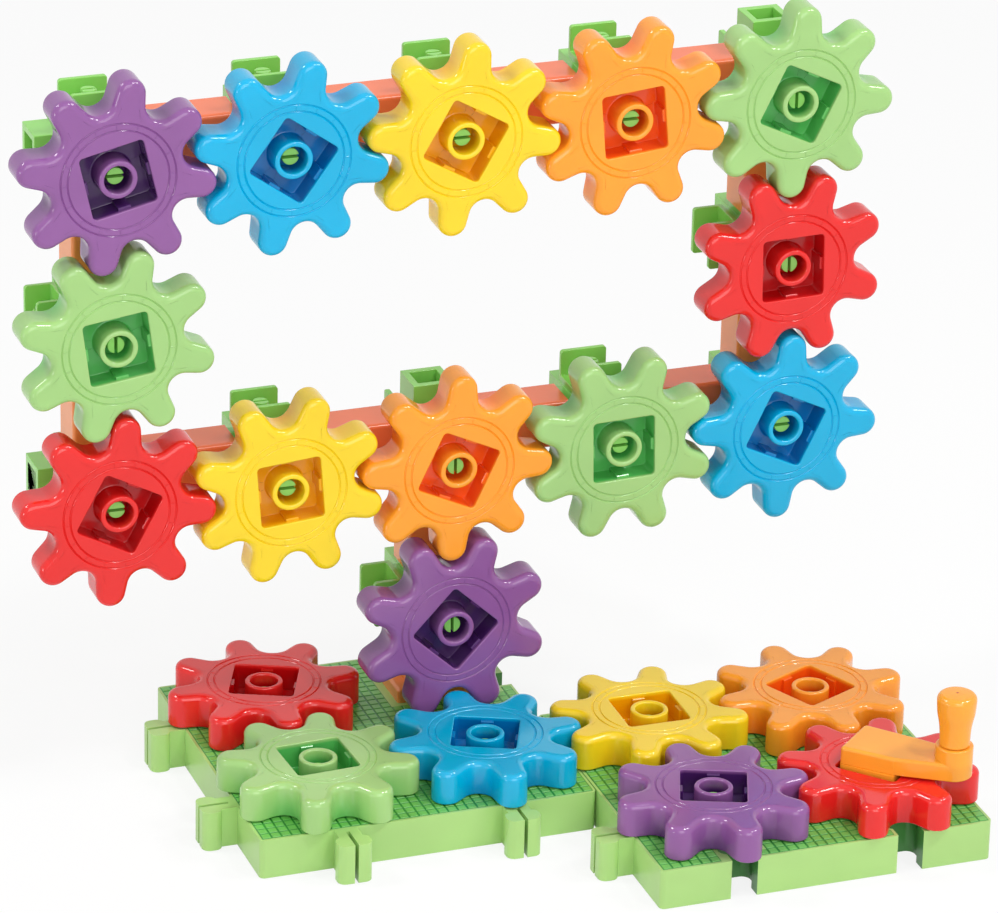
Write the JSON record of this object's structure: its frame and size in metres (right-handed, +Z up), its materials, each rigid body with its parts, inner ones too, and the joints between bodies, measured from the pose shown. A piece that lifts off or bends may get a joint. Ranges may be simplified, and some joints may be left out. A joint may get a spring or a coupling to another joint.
{
  "type": "crank gear toy",
  "caption": "A wall of meshed toy gears on a frame of beams and connectors, driven by a crank through gears on two joined base plates",
  "frame": {"origin": "on the surface the toy stands on, under the middle of its box", "axes": "+X to the right along the wall of gears, +Y to the rear, +Z up"},
  "size_m": [0.2611, 0.1598, 0.2247],
  "materials": {
    "purple": "injection moulded plastic, glossy, purple",
    "blue": "injection moulded plastic, glossy, blue",
    "yellow": "injection moulded plastic, glossy, yellow",
    "orange": "injection moulded plastic, glossy, orange",
    "light_green": "injection moulded plastic, glossy, light green",
    "red": "injection moulded plastic, glossy, red",
    "base_green": "injection moulded plastic, glossy, base green",
    "connector_green": "injection moulded plastic, glossy, connector green",
    "coral": "injection moulded plastic, glossy, coral",
    "light_orange": "injection moulded plastic, glossy, light orange",
    "amber": "injection moulded plastic, glossy, amber"
  },
  "bodies": {
    "root": {"left_plate": "base_green", "right_plate": "base_green", "base_axles": "connector_green", "wall_axles": "connector_green", "top_1_connector": "connector_green", "top_2_connector": "connector_green", "top_3_connector": "connector_green", "top_4_connector": "connector_green", "top_5_connector": "connector_green", "left_connector": "connector_green", "right_connector": "connector_green", "bottom_1_connector": "connector_green", "bottom_2_connector": "connector_green", "bottom_3_connector": "connector_green", "bottom_4_connector": "connector_green", "bottom_5_connector": "connector_green", "leg_connector": "connector_green", "top_beam_1": "coral", "top_beam_2": "coral", "top_beam_3": "coral", "top_beam_4": "coral", "bottom_beam_1": "coral", "bottom_beam_2": "coral", "bottom_beam_3": "coral", "bottom_beam_4": "coral", "left_beam_lower": "light_orange", "left_beam_upper": "light_orange", "right_beam_lower": "light_orange", "right_beam_upper": "light_orange", "leg_beam": "light_orange", "leg_foot": "light_orange"},
    "crank": {"crank_gear": "red", "crank_arm": "amber"},
    "knob": {"crank_knob": "amber"},
    "base_gear_rear": {"base_gear_rear": "red"},
    "base_gear_left": {"base_gear_left": "light_green"},
    "base_gear_middle": {"base_gear_middle": "blue"},
    "base_gear_right": {"base_gear_right": "yellow"},
    "base_gear_far_right": {"base_gear_far_right": "orange"},
    "base_gear_front": {"base_gear_front": "purple"},
    "top_1_gear": {"top_1_gear": "purple"},
    "top_2_gear": {"top_2_gear": "blue"},
    "top_3_gear": {"top_3_gear": "yellow"},
    "top_4_gear": {"top_4_gear": "orange"},
    "top_5_gear": {"top_5_gear": "light_green"},
    "left_gear": {"left_gear": "light_green"},
    "right_gear": {"right_gear": "red"},
    "bottom_1_gear": {"bottom_1_gear": "red"},
    "bottom_2_gear": {"bottom_2_gear": "yellow"},
    "bottom_3_gear": {"bottom_3_gear": "orange"},
    "bottom_4_gear": {"bottom_4_gear": "light_green"},
    "bottom_5_gear": {"bottom_5_gear": "blue"},
    "leg_gear": {"leg_gear": "purple"}
  },
  "joints": [
    {"name": "crank_spin", "type": "hinge", "parent": "root", "child": "crank", "pos_m": [0.1016, -0.0508, 0.02226], "axis": [0, 0, 1], "continuous": true},
    {"name": "knob_spin", "type": "hinge", "parent": "crank", "child": "knob", "pos_m": [0.11831, -0.06574, 0.0375], "axis": [0, 0, 1], "continuous": true},
    {"name": "base_gear_rear_spin", "type": "hinge", "parent": "root", "child": "base_gear_rear", "pos_m": [-0.0508, 0.0508, 0.02226], "axis": [0, 0, 1], "continuous": true},
    {"name": "base_gear_left_spin", "type": "hinge", "parent": "root", "child": "base_gear_left", "pos_m": [-0.0508, 0, 0.02226], "axis": [0, 0, 1], "continuous": true},
    {"name": "base_gear_middle_spin", "type": "hinge", "parent": "root", "child": "base_gear_middle", "pos_m": [0, 0, 0.02226], "axis": [0, 0, 1], "continuous": true},
    {"name": "base_gear_right_spin", "type": "hinge", "parent": "root", "child": "base_gear_right", "pos_m": [0.0508, 0, 0.02226], "axis": [0, 0, 1], "continuous": true},
    {"name": "base_gear_far_right_spin", "type": "hinge", "parent": "root", "child": "base_gear_far_right", "pos_m": [0.1016, 0, 0.02226], "axis": [0, 0, 1], "continuous": true},
    {"name": "base_gear_front_spin", "type": "hinge", "parent": "root", "child": "base_gear_front", "pos_m": [0.0508, -0.0508, 0.02226], "axis": [0, 0, 1], "continuous": true},
    {"name": "top_1_gear_spin", "type": "hinge", "parent": "root", "child": "top_1_gear", "pos_m": [-0.1016, 0.0315, 0.19569], "axis": [0, 1, 0], "continuous": true},
    {"name": "top_2_gear_spin", "type": "hinge", "parent": "root", "child": "top_2_gear", "pos_m": [-0.0508, 0.0315, 0.19569], "axis": [0, 1, 0], "continuous": true},
    {"name": "top_3_gear_spin", "type": "hinge", "parent": "root", "child": "top_3_gear", "pos_m": [0, 0.0315, 0.19569], "axis": [0, 1, 0], "continuous": true},
    {"name": "top_4_gear_spin", "type": "hinge", "parent": "root", "child": "top_4_gear", "pos_m": [0.0508, 0.0315, 0.19569], "axis": [0, 1, 0], "continuous": true},
    {"name": "top_5_gear_spin", "type": "hinge", "parent": "root", "child": "top_5_gear", "pos_m": [0.1016, 0.0315, 0.19569], "axis": [0, 1, 0], "continuous": true},
    {"name": "left_gear_spin", "type": "hinge", "parent": "root", "child": "left_gear", "pos_m": [-0.1016, 0.0315, 0.14489], "axis": [0, 1, 0], "continuous": true},
    {"name": "right_gear_spin", "type": "hinge", "parent": "root", "child": "right_gear", "pos_m": [0.1016, 0.0315, 0.14489], "axis": [0, 1, 0], "continuous": true},
    {"name": "bottom_1_gear_spin", "type": "hinge", "parent": "root", "child": "bottom_1_gear", "pos_m": [-0.1016, 0.0315, 0.09409], "axis": [0, 1, 0], "continuous": true},
    {"name": "bottom_2_gear_spin", "type": "hinge", "parent": "root", "child": "bottom_2_gear", "pos_m": [-0.0508, 0.0315, 0.09409], "axis": [0, 1, 0], "continuous": true},
    {"name": "bottom_3_gear_spin", "type": "hinge", "parent": "root", "child": "bottom_3_gear", "pos_m": [0, 0.0315, 0.09409], "axis": [0, 1, 0], "continuous": true},
    {"name": "bottom_4_gear_spin", "type": "hinge", "parent": "root", "child": "bottom_4_gear", "pos_m": [0.0508, 0.0315, 0.09409], "axis": [0, 1, 0], "continuous": true},
    {"name": "bottom_5_gear_spin", "type": "hinge", "parent": "root", "child": "bottom_5_gear", "pos_m": [0.1016, 0.0315, 0.09409], "axis": [0, 1, 0], "continuous": true},
    {"name": "leg_gear_spin", "type": "hinge", "parent": "root", "child": "leg_gear", "pos_m": [0, 0.0315, 0.04329], "axis": [0, 1, 0], "continuous": true}
  ],
  "couplings": [
    {"joint": "base_gear_rear_spin", "follows": "crank_spin", "ratio": -1},
    {"joint": "base_gear_left_spin", "follows": "crank_spin", "ratio": 1},
    {"joint": "base_gear_middle_spin", "follows": "crank_spin", "ratio": -1},
    {"joint": "base_gear_right_spin", "follows": "crank_spin", "ratio": 1},
    {"joint": "base_gear_far_right_spin", "follows": "crank_spin", "ratio": -1},
    {"joint": "base_gear_front_spin", "follows": "crank_spin", "ratio": -1},
    {"joint": "top_1_gear_spin", "follows": "crank_spin", "ratio": 1},
    {"joint": "top_2_gear_spin", "follows": "crank_spin", "ratio": -1},
    {"joint": "top_3_gear_spin", "follows": "crank_spin", "ratio": 1},
    {"joint": "top_4_gear_spin", "follows": "crank_spin", "ratio": -1},
    {"joint": "top_5_gear_spin", "follows": "crank_spin", "ratio": 1},
    {"joint": "left_gear_spin", "follows": "crank_spin", "ratio": -1},
    {"joint": "right_gear_spin", "follows": "crank_spin", "ratio": -1},
    {"joint": "bottom_1_gear_spin", "follows": "crank_spin", "ratio": 1},
    {"joint": "bottom_2_gear_spin", "follows": "crank_spin", "ratio": -1},
    {"joint": "bottom_3_gear_spin", "follows": "crank_spin", "ratio": 1},
    {"joint": "bottom_4_gear_spin", "follows": "crank_spin", "ratio": -1},
    {"joint": "bottom_5_gear_spin", "follows": "crank_spin", "ratio": 1},
    {"joint": "leg_gear_spin", "follows": "crank_spin", "ratio": -1}
  ]
}
